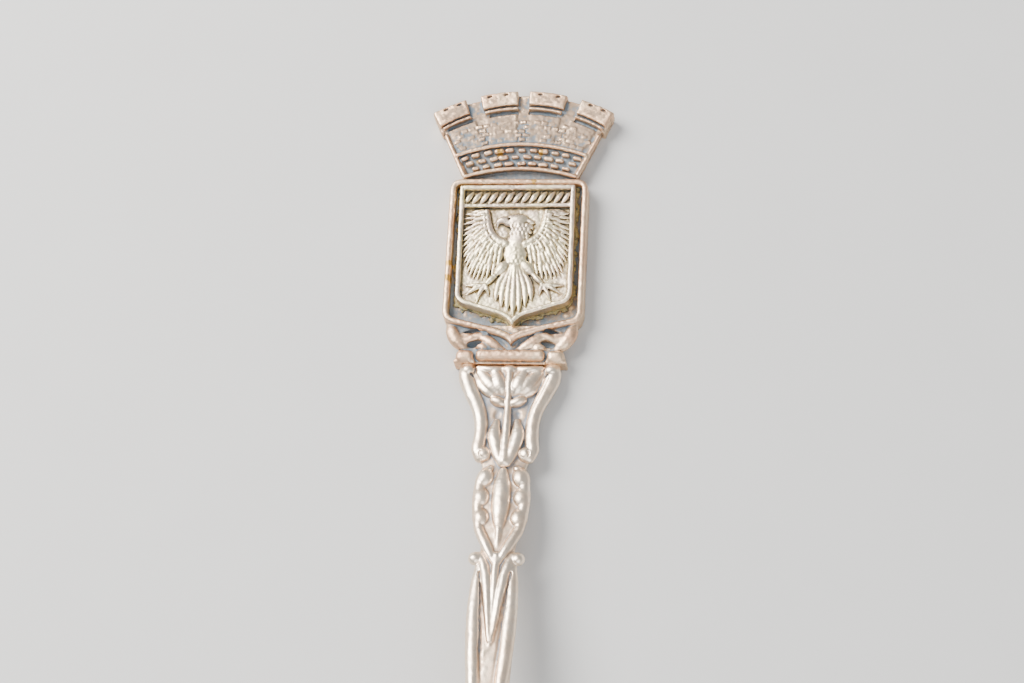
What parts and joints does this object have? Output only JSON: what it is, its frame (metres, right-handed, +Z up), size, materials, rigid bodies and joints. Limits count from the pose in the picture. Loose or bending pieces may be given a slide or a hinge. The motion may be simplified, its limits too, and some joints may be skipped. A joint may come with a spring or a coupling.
{
  "type": "souvenir spoon",
  "caption": "Collector's souvenir spoon: pressed bowl, cast ornamental handle and a crown-topped finial that frames a struck shield plaque.",
  "frame": {"origin": "middle of the overall length and width, at table height: the finial's flat back and the bottom of the bowl both touch Z = 0", "axes": "+Y from the bowl to the crown, +Z up out of the plaque's face, X across the spoon"},
  "size_m": [0.024, 0.122, 0.0087],
  "materials": {
    "bowl_plate": "worn silver plate over copper alloy, pressed and polished, light haze and fine scratches",
    "handle_plate": "worn silver plate over cast copper alloy, whitish high points, pink-brown wear, blue-black tarnish in the recesses",
    "finial_plate": "thin worn plate over cast copper alloy, coppery high points, blue-black tarnish in the recesses",
    "plaque_metal": "struck brass, dull olive-silver, dark in the recesses",
    "aged_glue": "old yellowed glue, slightly translucent, amber at the edges",
    "silver_solder": "silver braze, dull and slightly yellow",
    "soft_solder": "soft solder, dull grey"
  },
  "bodies": {
    "root": {"bowl": "bowl_plate", "handle": "handle_plate", "finial": "finial_plate", "plaque": "plaque_metal", "plaque_adhesive": "aged_glue", "bowl_solder": "silver_solder", "finial_solder": "soft_solder"}
  },
  "joints": []
}
